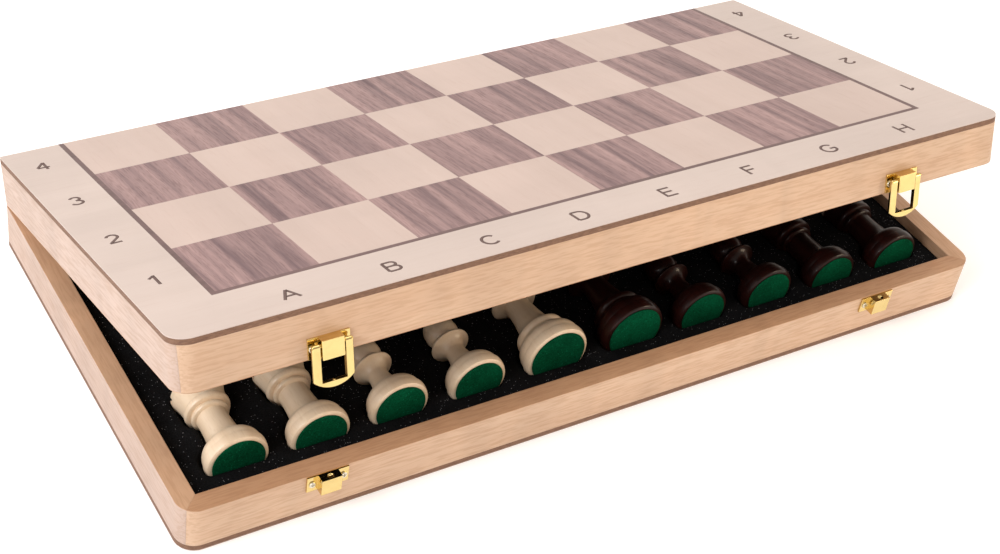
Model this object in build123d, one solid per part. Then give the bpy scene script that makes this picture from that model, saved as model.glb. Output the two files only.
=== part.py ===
from build123d import *
import os
from math import hypot, sqrt

# A folding chess box with a hinged lid, ajar, with its chess pieces in a fitted foam tray.
# Millimetres. +X runs along the long side, the front is -Y and +Z is up.
# The origin is the centre of the base's underside.

# ---------------------------------------------------------------- board and shells
square = 50.0              # side of one square
files = 8                  # squares along the long side
ranks = 4                  # rows of squares on each half
border = 33.5              # margin between the field and the front and side edges
saw_cut = 2.5              # what the row at the fold lost when the board was cut in two
line_width = 2.7           # dark inlaid line round the field
veneer = 0.4               # thickness of the border, line and squares
core = 2.8                 # thickness of the brown board under the veneer
shell_height = 26.2        # outer height of each half
rail = 10.0                # thickness of the wooden side rails
front_corner_radius = 10.0
back_corner_radius = 1.2
rim_gap = 0.4              # gap between the two rims when the box is shut
lid_opening = 16.0         # degrees that the lid stands open

# ---------------------------------------------------------------- foam
foam_drop = 5.4            # foam surface below the base's rim
lining = 5.0               # foam sheet under the lid
nest_gap = 0.3             # clearance between a chess piece and its nest

# ---------------------------------------------------------------- hinges
hinge_setback = 0.25       # hinge axis behind the back faces
hinge_inset = 85.0         # hinge centre from the box's end
hinge_length = 38.0
hinge_knuckles = 5
knuckle_radius = 2.0
knuckle_gap = 0.1          # play between neighbouring knuckles, and past the pin's ends
hinge_pin_radius = 1.0
running_gap = 0.05         # radial clearance of a turning fit
leaf_width = 9.0           # from the hinge axis to the leaf's edge
leaf_thickness = 1.0
leaf_relief = 0.25         # play between a leaf's edge and the other leaf's knuckles
barrel_relief = 0.3        # play between the barrel and the wood
leaf_screw_reach = 5.7     # hinge axis to the screws
leaf_screw_spread = 11.0   # hinge centre to each screw
leaf_screw_head_radius = 2.1
leaf_screw_length = 9.0

# ---------------------------------------------------------------- latches
latch_inset = 70.0         # latch centre from the box's end
mount_width = 20.4         # plate of the lid's half
mount_height = 10.1
mount_plate = 0.9
mount_lift = 0.3           # plate's lower edge above the lid's rim
block_width = 10.8
block_height = 9.4
block_reach = 5.6          # front of the block from the lid's front face
block_edge = 0.5           # rounding of the block's upright edges
pivot_height = 7.3         # frame pivot above the lid's rim
pivot_reach = 3.7          # frame pivot from the lid's front face
latch_pin_radius = 0.8
frame_width = 19.8
frame_window = 12.2        # width of the opening in the frame
frame_thickness = 2.2
frame_bar = 3.3            # depth of the frame's lower bar at its middle
frame_bow = 4.2            # how far the bar's lower edge bows down
frame_edge = 0.8           # rounding of the frame's front edges
nub_height = 0.35          # snap nub on the lower bar
nub_radius = 0.8
nub_play = 0.08            # the nub passes the keeper with this much room
keeper_width = 21.0
keeper_height = 9.0
keeper_plate = 1.0
keeper_drop = 0.6          # keeper's top below the base's rim
keeper_block_width = 10.2
keeper_reach = 5.2         # front of the keeper from the base's front face
dimple_radius = 1.5
dimple_depth = 0.6
latch_screw_radius = 1.1
latch_screw_length = 7.5   # reach into the rail
latch_screw_head_radius = 1.7
latch_screw_head = 0.8
mount_screw_spread = 8.2
keeper_screw_spread = 7.9
recess_width = 0.45        # arms of the cross recess in a screw head
recess_depth = 0.45

# ---------------------------------------------------------------- chess pieces
felt = 0.6                 # thickness of the felt discs
felt_margin = 2.4          # base edge left bare round the felt
foot_edge = 0.6            # rounding between a base's foot and its band
band_groove = 1.6          # depth of the groove over the band
cushion_inset = 1.1        # where the cushion over the groove starts
cushion_swell = 1.7        # how far the cushion swells
tray_front_margin = 13.1   # front wall of the tray to the first felts
tray_side_margin = 11.5    # end wall of the tray to the outermost bases
white_gaps = (10.4, 10.4, 12.1, 12.1)   # between neighbouring bases, from the box's end inwards
dark_gaps = (13.1, 13.1, 12.4, 10.1)
row_gap = 4.0              # between pieces that follow each other in a column
rook_radius = 15.6         # base radii
pawn_radius = 15.5
knight_radius = 15.7
bishop_radius = 15.7
queen_radius = 17.2
king_radius = 17.6
rook_height = 50.0         # standing heights
pawn_height = 49.0
knight_height = 52.0
bishop_height = 62.0
queen_height = 76.0
king_height = 86.0
rook_lift = 1.2            # axis above the foam when the piece lies in its nest
pawn_lift = 3.8
knight_lift = 1.2
bishop_lift = 1.8
queen_lift = 5.0
king_lift = 5.5
battlement_saw = 3.0       # width of the saw cuts in a rook's battlements
battlement_depth = 2.8
mitre_saw = 1.5            # width of the slanted cut in a bishop's mitre
coronet_points = 8
coronet_notch = 1.5        # radius of the notches in a queen's coronet
cross_thickness = 3.0      # king's cross
knight_thickness = 16.8    # a knight's head at its jaw and at its ears
knight_crown = 8.8

# ---------------------------------------------------------------- places worked out from these
width = files * square + 2 * border
depth = border + ranks * square - saw_cut
front_y = -depth / 2
back_y = depth / 2
panel = veneer + core
axis_y = back_y + hinge_setback
axis_z = shell_height + rim_gap / 2
foam_top = shell_height - foam_drop
lid_rim = shell_height + rim_gap
hinge_x = width / 2 - hinge_inset
latch_x = width / 2 - latch_inset
hinge_axis = Axis((0, axis_y, axis_z), (1, 0, 0))
pivot_y = front_y - pivot_reach
pivot_z = lid_rim + pivot_height


def flipped(shape):
    """Turns a piece of the base over to its place on the shut lid."""
    return shape.rotate(Axis((0, 0, axis_z), (0, 1, 0)), 180)


def opened(shape):
    """Swings a piece from the shut lid to where the lid stands ajar."""
    return shape.rotate(hinge_axis, -lid_opening)


def group(shapes):
    """Keeps loose solids together as one node."""
    return Compound([solid for shape in shapes for solid in shape.solids()])


def block(x_range, y_range, z_range):
    """A box between three pairs of limits."""
    size = [high - low for low, high in (x_range, y_range, z_range)]
    low = [x_range[0], y_range[0], z_range[0]]
    return Pos(*low) * Box(*size, align=(Align.MIN, Align.MIN, Align.MIN))


# ---------------------------------------------------------------- shells
def plan_outline():
    """The box's outline from above: well rounded in front, nearly sharp at the fold."""
    plan = Rectangle(width, depth)
    plan = fillet(plan.vertices().group_by(Axis.Y)[0], front_corner_radius)
    return fillet(plan.vertices().group_by(Axis.Y)[-1], back_corner_radius)


def front_wedge(height):
    """Everything in front of the mitres that start from the two front corners."""
    reach = depth / 2
    corners = [
        (-width / 2, front_y),
        (width / 2, front_y),
        (width / 2 - reach, front_y + reach),
        (-width / 2 + reach, front_y + reach),
    ]
    return extrude(make_face(Polyline(*corners, close=True)), height)


def mitred_rails():
    """The four rails of one half, split at their mitres: front, back, left and right."""
    wall = plan_outline() - Rectangle(width - 2 * rail, depth - 2 * rail)
    ring = Pos(0, 0, panel) * extrude(wall, shell_height - panel)
    front = front_wedge(shell_height)
    back = front.rotate(Axis.Z, 180)
    left, right = (ring - front - back).solids().sort_by(Axis.X)
    return ring & front, ring & back, left, right


def margin_strips(outer, inner, corners_rounded):
    """Three mitred veneer strips round the field, between two distances from its edge."""
    plan = plan_outline() if corners_rounded else Pos(0, outer / 2) * Rectangle(
        width - 2 * outer, depth - outer)
    field = Pos(0, inner / 2) * Rectangle(width - 2 * inner, depth - inner)
    band = extrude(plan - field, veneer)
    front = front_wedge(veneer)
    return [band & front, *(band - front).solids()]


def squares(dark):
    """All squares of one shade on one half, seen from the outside with the fold away."""
    tiles = []
    for file in range(files):
        for rank in range(ranks):
            if ((files - 1 - file + rank) % 2 == 0) != dark:
                continue
            left = (file - files / 2) * square
            near = front_y + border + rank * square
            far = min(near + square, back_y)
            tiles.append(block((left, left + square), (near, far), (0, veneer)))
    return group(tiles)


def shell_pieces():
    """One half of the box as it lies under the foam, without its cuts for fittings."""
    front, back, left, right = mitred_rails()
    line_edge = border - line_width
    return {
        "panel": Pos(0, 0, veneer) * extrude(plan_outline(), core),
        "rail_front": front,
        "rail_back": back,
        "rail_left": left,
        "rail_right": right,
        "border_veneer": group(margin_strips(0, line_edge, True)),
        "field_line": group(margin_strips(line_edge, border, False)),
        "light_squares": squares(False),
        "dark_squares": squares(True),
    }


# ---------------------------------------------------------------- hinges
def knuckle_spans(own_start):
    """The lengthwise limits of every second knuckle, counted from own_start."""
    pitch = hinge_length / hinge_knuckles
    starts = [-hinge_length / 2 + index * pitch for index in range(own_start, hinge_knuckles, 2)]
    return [(start + knuckle_gap / 2, start + pitch - knuckle_gap / 2) for start in starts]


def barrel(radius, x_range):
    """A rod of a given radius on the hinge axis."""
    length = x_range[1] - x_range[0]
    middle = (x_range[0] + x_range[1]) / 2
    return Pos(middle, axis_y, axis_z) * Rot(0, 90, 0) * Cylinder(radius, length)


def leaf_screw():
    """A countersunk wood screw, head up, with its head's top at zero."""
    shank = leaf_screw_head_radius / 2
    cone = Pos(0, 0, -leaf_thickness / 2) * Cone(shank, leaf_screw_head_radius, leaf_thickness)
    rod_length = leaf_screw_length - leaf_thickness - shank
    rod = Pos(0, 0, -leaf_thickness - rod_length / 2) * Cylinder(shank, rod_length)
    tip = Pos(0, 0, -leaf_screw_length + shank / 2) * Cone(shank / 8, shank, shank)
    return cone + rod + tip


def cross_recess(head_radius):
    """The cross-shaped recess in a screw head whose top is at zero."""
    arm = Box(1.2 * head_radius, recess_width, 2 * recess_depth)
    return arm + arm.rotate(Axis.Z, 90)


def leaf_screws(x_centre):
    """The two screws of a leaf that lies in the base's rim."""
    places = [Pos(x_centre + side * leaf_screw_spread, axis_y - leaf_screw_reach, shell_height)
              for side in (-1, 1)]
    screw = leaf_screw()
    return [place * screw for place in places]


def hinge_leaf(x_centre, first_knuckle, bore_radius):
    """A leaf let into the base's rim, with every second knuckle from first_knuckle."""
    half = hinge_length / 2
    plate = block((-half, half), (axis_y - leaf_width, axis_y),
                  (shell_height - leaf_thickness, shell_height))
    for span in knuckle_spans(1 - first_knuckle):
        room = (span[0] - knuckle_gap, span[1] + knuckle_gap)
        plate -= barrel(knuckle_radius + leaf_relief, room)
    for span in knuckle_spans(first_knuckle):
        plate += barrel(knuckle_radius, span)
    plate -= barrel(bore_radius, (-half, half))
    leaf = Pos(x_centre, 0, 0) * plate
    for screw in leaf_screws(x_centre):
        leaf -= screw
    return leaf


def cut_for_hinge(back_rail, x_centre):
    """Lets a leaf, its screws and the barrel into a back rail."""
    half = hinge_length / 2
    mortise = block((-half, half), (axis_y - leaf_width, axis_y),
                    (shell_height - leaf_thickness, shell_height))
    room = barrel(knuckle_radius + barrel_relief, (-half - barrel_relief, half + barrel_relief))
    back_rail -= Pos(x_centre, 0, 0) * (mortise + room)
    for screw in leaf_screws(x_centre):
        back_rail -= screw
    return back_rail


# ---------------------------------------------------------------- latches
def latch_screw(plate):
    """A pan-head screw along +Y through a plate, its head's underside at zero."""
    rod_length = plate + latch_screw_length
    head = Pos(0, 0, latch_screw_head / 2) * Cylinder(latch_screw_head_radius, latch_screw_head)
    head = fillet(head.edges().group_by(Axis.Z)[-1], latch_screw_head / 2)
    head -= Pos(0, 0, latch_screw_head) * cross_recess(latch_screw_head_radius)
    rod = Pos(0, 0, -rod_length / 2) * Cylinder(latch_screw_radius, rod_length)
    return (head + rod).rotate(Axis.X, 90)


def placed_screws(x_centre, spread, plate, height):
    """The pair of screws of one latch half, heads on a plate on the front face."""
    screw = latch_screw(plate)
    return [Pos(x_centre + side * spread, front_y - plate, height) * screw for side in (-1, 1)]


def mount_screws(x_centre):
    """Screws of the lid's half, at the middle of its plate, with the lid shut."""
    middle = lid_rim + mount_lift + mount_height / 2
    return placed_screws(x_centre, mount_screw_spread, mount_plate, middle)


def keeper_screws(x_centre):
    """Screws of the keeper, at the middle of its height."""
    middle = shell_height - keeper_drop - keeper_height / 2
    return placed_screws(x_centre, keeper_screw_spread, keeper_plate, middle)


def latch_rod(radius, length):
    """A rod on a latch's pivot, with the lid shut and the latch at x = 0."""
    return Pos(0, pivot_y, pivot_z) * Rot(0, 90, 0) * Cylinder(radius, length)


def latch_mount(x_centre):
    """The lid's half of a latch: a plate and the block that carries the pivot."""
    low = lid_rim + mount_lift
    top = low + mount_height
    plate = block((-mount_width / 2, mount_width / 2), (front_y - mount_plate, front_y),
                  (low, top))
    body = block((-block_width / 2, block_width / 2), (front_y - block_reach, front_y),
                 (top - block_height, top))
    upright = body.edges().filter_by(Axis.Z).group_by(Axis.Y)[0]
    mount = plate + fillet(upright, block_edge) - latch_rod(latch_pin_radius, block_width)
    mount = Pos(x_centre, 0, 0) * mount
    for screw in mount_screws(x_centre):
        mount -= screw
    return mount


def keeper_corner_reach():
    """How far the keeper's lower front edge lies from the shut lid's latch pivot."""
    drop = pivot_height + rim_gap + keeper_drop + keeper_height
    return hypot(drop, keeper_reach - pivot_reach)


def latch_frame(x_centre):
    """The swinging frame: two arms, a bowed lower bar and the nub that snaps on the keeper."""
    window_foot = pivot_z - keeper_corner_reach() - nub_play - nub_height
    foot = window_foot - frame_bar
    half = frame_width / 2
    side_foot = foot + frame_bow
    outline = Polyline((-half, side_foot), (-half, pivot_z), (half, pivot_z), (half, side_foot))
    bow = ThreePointArc((-half, side_foot), (0, foot), (half, side_foot))
    face = make_face(Plane.XZ * (outline + bow))
    frame = Pos(0, pivot_y, 0) * extrude(face, frame_thickness / 2, both=True)
    frame += latch_rod(frame_thickness / 2, frame_width)
    front = frame.faces().filter_by(GeomType.PLANE).sort_by(Axis.Y)[0]
    rounded = [edge for edge in front.edges() if edge.center().Z < pivot_z - frame_thickness / 2]
    frame = fillet(rounded, frame_edge)
    wide = frame_window / 2
    frame -= block((-wide, wide), (pivot_y - half, pivot_y + half), (window_foot, pivot_z + half))
    nub = Pos(0, pivot_y, window_foot + nub_height / 2) * Cone(nub_radius, nub_radius / 2, nub_height)
    frame = frame + nub - latch_rod(latch_pin_radius + running_gap, frame_width)
    return Pos(x_centre, 0, 0) * frame


def latch_keeper(x_centre):
    """The base's half of a latch: an eared plate and the block that fills the frame's window."""
    top = shell_height - keeper_drop
    plate = block((-keeper_width / 2, keeper_width / 2), (front_y - keeper_plate, front_y),
                  (top - keeper_height, top))
    half = keeper_block_width / 2
    keeper = plate + block((-half, half), (front_y - keeper_reach, front_y),
                           (top - keeper_height, top))
    ball_radius = (dimple_radius ** 2 + dimple_depth ** 2) / (2 * dimple_depth)
    middle_y = front_y - (keeper_reach + keeper_plate) / 2
    for face_z, outward in ((top, 1), (top - keeper_height, -1)):
        centre_z = face_z + outward * (ball_radius - dimple_depth)
        keeper -= Pos(0, middle_y, centre_z) * Sphere(ball_radius)
    keeper = Pos(x_centre, 0, 0) * keeper
    for screw in keeper_screws(x_centre):
        keeper -= screw
    return keeper


# ---------------------------------------------------------------- chess pieces
def dome_bulge(radius, rise):
    """Bulge of the arc from a rim to the top of a dome centred on the axis."""
    ball = (radius ** 2 + rise ** 2) / (2 * rise)
    return ball - sqrt(ball ** 2 - (radius ** 2 + rise ** 2) / 4)


def turned(steps):
    """Turns an outline of (radius, height, bulge) steps about +Z.

    A bulge is how far the arc that reaches the point swells out of its chord.
    An arc that reaches the axis is a dome.
    """
    start = (0.0, steps[0][1])
    edges = []
    for radius, height, bulge in steps:
        end = (radius, height)
        if bulge and radius == 0:
            bulge = dome_bulge(start[0], height - start[1])
        edges.append(SagittaArc(start, end, -bulge) if bulge else Line(start, end))
        start = end
    if start[0] > 0:
        edges.append(Line(start, (0.0, start[1])))
        start = (0.0, start[1])
    edges.append(Line(start, (0.0, steps[0][1])))
    return revolve(Plane.XZ * make_face(Curve() + edges), Axis.Z)


def nest_tool(points):
    """Turns the straight tapers that clear a piece's mouldings, to cut its nest."""
    grown = [(radius + nest_gap, height) for radius, height in points]
    foot = -nest_gap
    top = points[-1][1] + nest_gap
    outline = [(0.0, foot), (grown[0][0], foot), *grown, (grown[-1][0], top), (0.0, top)]
    return revolve(Plane.XZ * make_face(Polyline(*outline, close=True)), Axis.Z)


def base_steps(radius, band, torus_top, neck_radius):
    """The lower band, groove and cushion moulding that every piece stands on."""
    return [
        (radius - felt_margin, felt, 0),
        (radius - foot_edge, felt + foot_edge, 0.15),
        (radius - 0.1, band, 0.25),
        (radius - band_groove, band + band_groove / 4, 0),
        (radius - cushion_inset, band + band_groove / 2, 0),
        (neck_radius, torus_top, cushion_swell),
    ]


def rook_steps():
    """Outline of a rook up to the rim of its turret and down into its cup."""
    top = rook_height
    return base_steps(rook_radius, 5.2, 12.6, 10.8) + [
        (9.9, 13.0, 0),
        (8.0, top - 30.0, -0.4),
        (7.6, top - 18.8, -0.2),
        (9.2, top - 18.2, 0.1),
        (9.3, top - 16.4, 0.25),
        (8.9, top - 15.8, 0),
        (11.0, top - 15.2, 0.1),
        (11.4, top - 12.6, 0.3),
        (10.9, top - 12.0, 0),
        (12.8, top - 3.4, -0.35),
        (12.9, top - 0.6, 0.1),
        (12.3, top, 0.15),
        (9.0, top, 0),
        (8.4, top - 3.0, 0),
        (0.0, top - 3.4, 0),
    ]


def rook_nest():
    """Tapers round a rook."""
    return [(rook_radius, 11.0), (8.8, 18.0), (8.2, rook_height - 19.4),
            (11.9, rook_height - 18.4), (13.2, rook_height)]


def pawn_steps():
    """Outline of a pawn: short neck, lens-shaped collar and round head."""
    top = pawn_height
    return base_steps(pawn_radius, 4.9, 12.4, 10.0) + [
        (9.0, 12.8, 0),
        (5.2, top - 24.2, -1.2),
        (10.0, top - 19.8, -0.9),
        (10.1, top - 18.8, 0.2),
        (6.1, top - 16.2, 0.5),
        (8.3, top - 8.8, 1.0),
        (0.0, top, 1),
    ]


def pawn_nest():
    """Tapers round a pawn."""
    top = pawn_height
    return [(pawn_radius, 11.0), (7.6, 18.4), (6.6, top - 25.4), (10.5, top - 20.8),
            (10.5, top - 17.6), (8.8, top - 15.6), (8.8, top)]


def bishop_steps():
    """Outline of a bishop up to the bead on its mitre."""
    top = bishop_height
    return base_steps(bishop_radius, 5.0, 12.8, 10.4) + [
        (9.5, 13.2, 0),
        (6.9, 22.0, -0.7),
        (6.0, top - 28.4, -0.3),
        (9.8, top - 27.6, 0),
        (10.2, top - 26.0, 0.3),
        (7.4, top - 24.6, 0.1),
        (7.8, top - 23.0, 0.4),
        (6.4, top - 22.0, 0),
        (9.0, top - 14.4, 0.6),
        (3.0, top - 4.6, 1.3),
        (2.0, top - 4.2, 0),
        (2.4, top - 2.2, 0.5),
        (0.0, top, 1),
    ]


def bishop_nest():
    """Tapers round a bishop."""
    top = bishop_height
    return [(bishop_radius, 11.0), (8.2, 22.0), (6.8, top - 29.0), (10.6, top - 28.4),
            (10.6, top - 24.4), (9.8, top - 14.4), (2.8, top)]


def queen_steps():
    """Outline of a queen up to the ball on her coronet."""
    top = queen_height
    return base_steps(queen_radius, 5.3, 13.2, 12.8) + [
        (12.2, 15.0, -0.2),
        (12.9, 17.8, 0.5),
        (11.8, 18.6, 0),
        (7.8, 26.5, -0.9),
        (6.5, top - 37.6, -0.35),
        (11.6, top - 36.8, 0),
        (12.2, top - 35.2, 0.3),
        (8.6, top - 33.8, 0.1),
        (9.0, top - 32.0, 0.5),
        (7.6, top - 31.0, 0),
        (12.2, top - 9.4, -1.4),
        (11.4, top - 7.0, 0.3),
        (9.2, top - 8.2, 0),
        (3.4, top - 4.9, 0.9),
        (2.0, top - 4.4, 0),
        (2.5, top - 2.3, 0.5),
        (0.0, top, 1),
    ]


def queen_nest():
    """Tapers round a queen."""
    top = queen_height
    return [(queen_radius, 11.6), (13.9, 18.6), (7.9, 26.5), (6.8, top - 38.4),
            (12.6, top - 37.6), (12.6, top - 33.6), (9.6, top - 31.6), (12.6, top - 11.0),
            (12.6, top - 6.0), (2.8, top)]


def king_steps():
    """Outline of a king up to the foot of his cross."""
    top = king_height
    return base_steps(king_radius, 5.4, 13.4, 13.1) + [
        (12.4, 15.3, -0.2),
        (13.2, 18.2, 0.5),
        (12.0, 19.0, 0),
        (8.0, 27.0, -0.9),
        (6.7, top - 43.8, -0.4),
        (11.8, top - 43.0, 0),
        (12.6, top - 41.4, 0.3),
        (8.8, top - 39.8, 0.1),
        (9.3, top - 38.0, 0.5),
        (7.9, top - 37.0, 0),
        (12.6, top - 18.6, -1.2),
        (12.3, top - 16.2, 0.4),
        (3.4, top - 11.6, 1.1),
        (2.2, top - 11.0, 0),
        (2.4, top - 9.4, 0.4),
    ]


def king_nest():
    """Tapers round a king."""
    top = king_height
    return [(king_radius, 11.8), (14.1, 19.0), (8.1, 27.0), (7.0, top - 44.6),
            (13.0, top - 43.8), (13.0, top - 39.6), (9.8, top - 37.6), (13.2, top - 20.0),
            (13.2, top - 15.0), (4.4, top - 9.0), (4.4, top)]


def knight_foot_steps():
    """Outline of the moulded foot under a knight's head."""
    return base_steps(knight_radius, 5.1, 12.4, 12.3) + [
        (11.6, 13.0, 0),
        (11.6, 14.4, 0.4),
    ]


def knight_head_face():
    """A horse's head and neck from the side, facing +X."""
    top = knight_height
    chest = ThreePointArc((9.2, 12.6), (10.6, 20.0), (7.2, top - 25.6))
    jaw = ThreePointArc((7.2, top - 25.6), (9.6, top - 22.6), (13.0, top - 22.8))
    muzzle = ThreePointArc((13.0, top - 22.8), (16.2, top - 21.2), (15.4, top - 17.8))
    nose = ThreePointArc((15.4, top - 17.8), (11.2, top - 12.6), (7.4, top - 6.4))
    ear = Polyline((7.4, top - 6.4), (4.2, top), (1.6, top - 5.0))
    mane = ThreePointArc((1.6, top - 5.0), (-9.4, top - 17.4), (-9.6, 12.6))
    foot = Line((-9.6, 12.6), (9.2, 12.6))
    return make_face(Curve() + [chest, jaw, muzzle, nose, ear, mane, foot])


def knight_head():
    """The head, thinner towards the ears."""
    thick = knight_thickness / 2
    thin = knight_crown / 2
    head = extrude(Plane.XZ * knight_head_face(), thick, both=True)
    taper = [(-thick, 12.0), (thick, 12.0), (thin, knight_height), (-thin, knight_height)]
    return head & extrude(Plane.YZ * make_face(Polyline(*taper, close=True)), square, both=True)


def rook():
    """A rook with its battlements sawn."""
    body = turned(rook_steps())
    for turn in range(3):
        slot = Pos(0, 0, rook_height) * Box(4 * rook_radius, battlement_saw, 2 * battlement_depth)
        body -= slot.rotate(Axis.Z, 60 * turn)
    return body


def bishop():
    """A bishop with the slanted cut in its mitre."""
    slot = Pos(6.0, 0, bishop_height - 11.0) * Rot(0, -38, 0) * Box(12.0, 24.0, mitre_saw)
    return turned(bishop_steps()) - slot


def queen():
    """A queen with a notched coronet."""
    body = turned(queen_steps())
    notch = Pos(11.6, 0, queen_height - 6.4) * Rot(0, 90, 0) * Cylinder(coronet_notch, 4.6)
    for point in range(coronet_points):
        body -= notch.rotate(Axis.Z, 360 / coronet_points * point)
    return body


def king():
    """A king with a splayed cross."""
    top = king_height
    arms = [(-1.3, top - 9.6), (1.3, top - 9.6), (1.1, top - 5.6), (4.2, top - 6.4),
            (4.2, top - 2.6), (1.1, top - 3.4), (1.8, top), (-1.8, top), (-1.1, top - 3.4),
            (-4.2, top - 2.6), (-4.2, top - 6.4), (-1.1, top - 5.6)]
    outline = make_face(Polyline(*arms, close=True))
    cross = extrude(Plane.XZ * outline, cross_thickness / 2, both=True)
    return turned(king_steps()) + cross


def knight():
    """A knight: the turned foot and the horse's head in one piece."""
    return turned(knight_foot_steps()) + knight_head()


def knight_nest():
    """The hollow that takes a knight lying on its side."""
    top = knight_height
    foot = nest_tool([(knight_radius, 11.0), (12.6, 15.0)])
    corners = [(11.2, 12.0), (11.2, top - 24.4), (17.0, top - 21.6), (17.0, top - 17.0),
               (8.2, top - 5.0), (4.4, top + 1.0), (1.0, top - 4.0), (-12.3, top - 16.4),
               (-12.3, 12.0)]
    outline = make_face(Polyline(*corners, close=True))
    return foot + extrude(Plane.XZ * outline, knight_thickness / 2 + nest_gap, both=True)


def kinds():
    """Per kind: solid, tool for its nest, base radius, height and lift above the foam."""
    return {
        "rook": (rook(), nest_tool(rook_nest()), rook_radius, rook_height, rook_lift),
        "pawn": (turned(pawn_steps()), nest_tool(pawn_nest()), pawn_radius, pawn_height,
                 pawn_lift),
        "bishop": (bishop(), nest_tool(bishop_nest()), bishop_radius, bishop_height,
                   bishop_lift),
        "queen": (queen(), nest_tool(queen_nest()), queen_radius, queen_height, queen_lift),
        "king": (king(), nest_tool(king_nest()), king_radius, king_height, king_lift),
        "knight": (knight(), knight_nest(), knight_radius, knight_height, knight_lift),
    }


# columns of one colour from the box's end to its middle, each from front to back;
# the front row's felts face the front and the others' the back
columns = (
    ("rook", "bishop", "bishop"),
    ("rook", "queen", "pawn"),
    ("pawn", "knight", "pawn"),
    ("pawn", "knight", "pawn"),
    ("king", "pawn", "pawn"),
)
crosswise_columns = (2, 3)     # the pawn behind these two lies across them


def column_centres(pieces, gaps):
    """Distance of each column from the box's middle, from the outermost inwards."""
    radii = [pieces[column[0]][2] for column in columns]
    centres = [width / 2 - rail - tray_side_margin - radii[0]]
    for outer, inner, gap in zip(radii, radii[1:], gaps):
        centres.append(centres[-1] - outer - gap - inner)
    return centres


def lying(kind_lift, x_centre, y_felt, side, tilt):
    """Places an upright piece on its side; tilt -90 brings its felt to the front, 90 to the back."""
    turn = 0 if side < 0 else 180
    return Pos(x_centre, y_felt, foam_top + kind_lift) * Rot(tilt, 0, 0) * Rot(0, 0, turn)


def lying_across(kind_lift, x_felt, y_centre, side):
    """Places an upright piece on its side across the columns, with its felt outwards."""
    turn = 90 if side < 0 else -90
    return Pos(x_felt, y_centre, foam_top + kind_lift) * Rot(0, turn, 0)


def layout(pieces, side, gaps):
    """Kind and place of the sixteen pieces of one colour; side is -1 or 1."""
    centres = column_centres(pieces, gaps)
    placed = []
    for centre, column in zip(centres, columns):
        y_start = front_y + rail + tray_front_margin
        for row, kind in enumerate(column):
            height, lift = pieces[kind][3:]
            y_felt, tilt = (y_start, -90) if row == 0 else (y_start + height, 90)
            placed.append((kind, lying(lift, side * centre, y_felt, side, tilt)))
            y_start += height + row_gap
    middle = sum(centres[index] for index in crosswise_columns) / len(crosswise_columns)
    y_centre = back_y - rail - row_gap - pawn_radius
    x_felt = side * (middle + pawn_height / 2)
    placed.append(("pawn", lying_across(pawn_lift, x_felt, y_centre, side)))
    return placed


def felt_disc(radius):
    """The felt under a piece with a given base radius."""
    return Pos(0, 0, felt / 2) * Cylinder(radius - felt_margin, felt)


def chess_nodes(pieces):
    """Every chess piece and felt in its nest, by node name, and the tools that cut the nests."""
    nodes = {}
    nests = []
    for colour, side, gaps in (("white", -1, white_gaps), ("dark", 1, dark_gaps)):
        felts = []
        pawns = []
        count = {}
        for kind, place in layout(pieces, side, gaps):
            solid, nest, radius = pieces[kind][:3]
            felts.append(place * felt_disc(radius))
            nests.append(place * nest)
            if kind == "pawn":
                pawns.append(place * solid)
            elif kind in ("king", "queen"):
                nodes[f"{colour}_{kind}"] = place * solid
            else:
                count[kind] = count.get(kind, 0) + 1
                nodes[f"{colour}_{kind}_{count[kind]}"] = place * solid
        nodes[f"{colour}_pawns"] = group(pawns)
        nodes[f"{colour}_felts"] = group(felts)
    return nodes, nests


def foam_tray(nests):
    """The foam that fills the base, with a nest for every piece."""
    foam = block((-width / 2 + rail, width / 2 - rail), (front_y + rail, back_y - rail),
                 (panel, foam_top))
    return foam - nests


def lid_lining():
    """The foam sheet under the lid, with the lid shut."""
    top = 2 * axis_z - panel
    return block((-width / 2 + rail, width / 2 - rail), (front_y + rail, back_y - rail),
                 (top - lining, top))


# ---------------------------------------------------------------- assembly
def hinge_nodes(base, lid):
    """Hinges at both ends, and their cuts in the two back rails."""
    nodes = {}
    base_screws = []
    lid_screws = []
    for name, side in (("left", -1), ("right", 1)):
        x_base = side * hinge_x
        x_lid = -x_base
        base["rail_back"] = cut_for_hinge(base["rail_back"], x_base)
        lid["rail_back"] = cut_for_hinge(lid["rail_back"], x_lid)
        pin_half = hinge_length / 2
        nodes[f"hinge_{name}_base_leaf"] = hinge_leaf(x_base, 0, hinge_pin_radius)
        nodes[f"hinge_{name}_lid_leaf"] = opened(flipped(
            hinge_leaf(x_lid, 1, hinge_pin_radius + running_gap)))
        nodes[f"hinge_{name}_pin"] = Pos(x_base, 0, 0) * barrel(hinge_pin_radius,
                                                               (-pin_half, pin_half))
        recess = cross_recess(leaf_screw_head_radius)
        for screws, x_centre in ((base_screws, x_base), (lid_screws, x_lid)):
            for index, screw in enumerate(leaf_screws(x_centre)):
                x_screw = x_centre + (2 * index - 1) * leaf_screw_spread
                cut = Pos(x_screw, axis_y - leaf_screw_reach, shell_height) * recess
                screws.append(screw - cut)
    nodes["hinge_screws_base"] = group(base_screws)
    nodes["hinge_screws_lid"] = opened(flipped(group(lid_screws)))
    return nodes


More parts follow.
